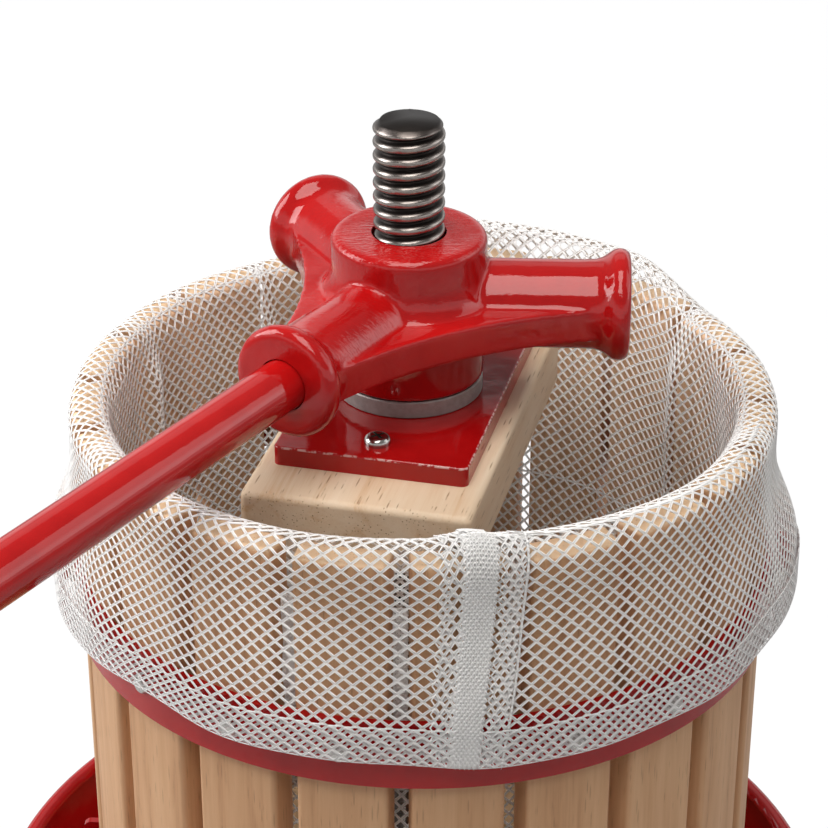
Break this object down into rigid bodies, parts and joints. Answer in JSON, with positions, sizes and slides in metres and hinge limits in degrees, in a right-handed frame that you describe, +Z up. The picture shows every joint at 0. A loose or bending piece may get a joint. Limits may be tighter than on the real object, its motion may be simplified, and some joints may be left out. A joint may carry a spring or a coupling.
{
  "type": "fruit press",
  "caption": "Hand screw fruit press: a wooden stave basket lined with a net bag, a lever-turned nut on a centre screw, and a tray with a spout on legs.",
  "frame": {"origin": "on the floor under the screw's axis, the centre of the circle of foot holes", "axes": "+Z up along the screw, -Y towards the tray's spout, +X to the right of someone facing the spout"},
  "size_m": [0.515, 0.6601, 0.582],
  "materials": {
    "red_enamel": "gloss",
    "dark_steel": "turned",
    "grey_steel": "turned",
    "zinc_steel": "plated",
    "stave_wood": "planed",
    "pale_wood": "planed",
    "white_net": "open diamond mesh",
    "black_rubber": "matt",
    "black_plastic": "satin"
  },
  "bodies": {
    "base": {"tray": "red_enamel", "leg_rear": "red_enamel", "leg_left": "red_enamel", "leg_right": "red_enamel", "base_plate": "red_enamel", "centre_spacer": "zinc_steel", "leg_bolts": "zinc_steel", "leg_nuts": "zinc_steel", "base_bolts": "zinc_steel", "spindle": "dark_steel", "spindle_seal": "black_rubber", "spindle_washer": "zinc_steel", "spindle_nut": "zinc_steel", "stave_01": "stave_wood", "stave_02": "stave_wood", "stave_03": "stave_wood", "stave_04": "stave_wood", "stave_05": "stave_wood", "stave_06": "stave_wood", "stave_07": "stave_wood", "stave_08": "stave_wood", "stave_09": "stave_wood", "stave_10": "stave_wood", "stave_11": "stave_wood", "stave_12": "stave_wood", "stave_13": "stave_wood", "stave_14": "stave_wood", "stave_15": "stave_wood", "stave_16": "stave_wood", "stave_17": "stave_wood", "stave_18": "stave_wood", "stave_19": "stave_wood", "stave_20": "stave_wood", "upper_hoop_front": "red_enamel", "upper_hoop_rear": "red_enamel", "upper_hoop_screws": "zinc_steel", "lower_hoop_front": "red_enamel", "lower_hoop_rear": "red_enamel", "lower_hoop_screws": "zinc_steel", "hoop_bolts": "zinc_steel", "hoop_nuts": "zinc_steel", "press_bag": "white_net", "press_board_left": "pale_wood", "press_board_right": "pale_wood"},
    "head": {"pressure_block": "pale_wood", "pressure_plate": "red_enamel", "plate_screws": "zinc_steel", "thrust_washer": "grey_steel"},
    "nut": {"nut_hub": "red_enamel", "retaining_ring": "zinc_steel"},
    "lever": {"lever": "red_enamel", "lever_plug": "black_plastic"}
  },
  "joints": [
    {"name": "head_travel", "type": "slide", "parent": "base", "child": "head", "axis": [0, 0, 1], "range_m": [-0.01, 0.07]},
    {"name": "nut_turn", "type": "hinge", "parent": "head", "child": "nut", "pos_m": [0, 0, 0.5], "axis": [0, 0, 1], "range_deg": [-601, 4201]},
    {"name": "lever_slide", "type": "slide", "parent": "nut", "child": "lever", "axis": [-0.5402, -0.8415, 0], "range_m": [0, 0.05]}
  ],
  "couplings": [
    {"joint": "nut_turn", "follows": "head_travel", "rad_per_m": 1047.2}
  ]
}
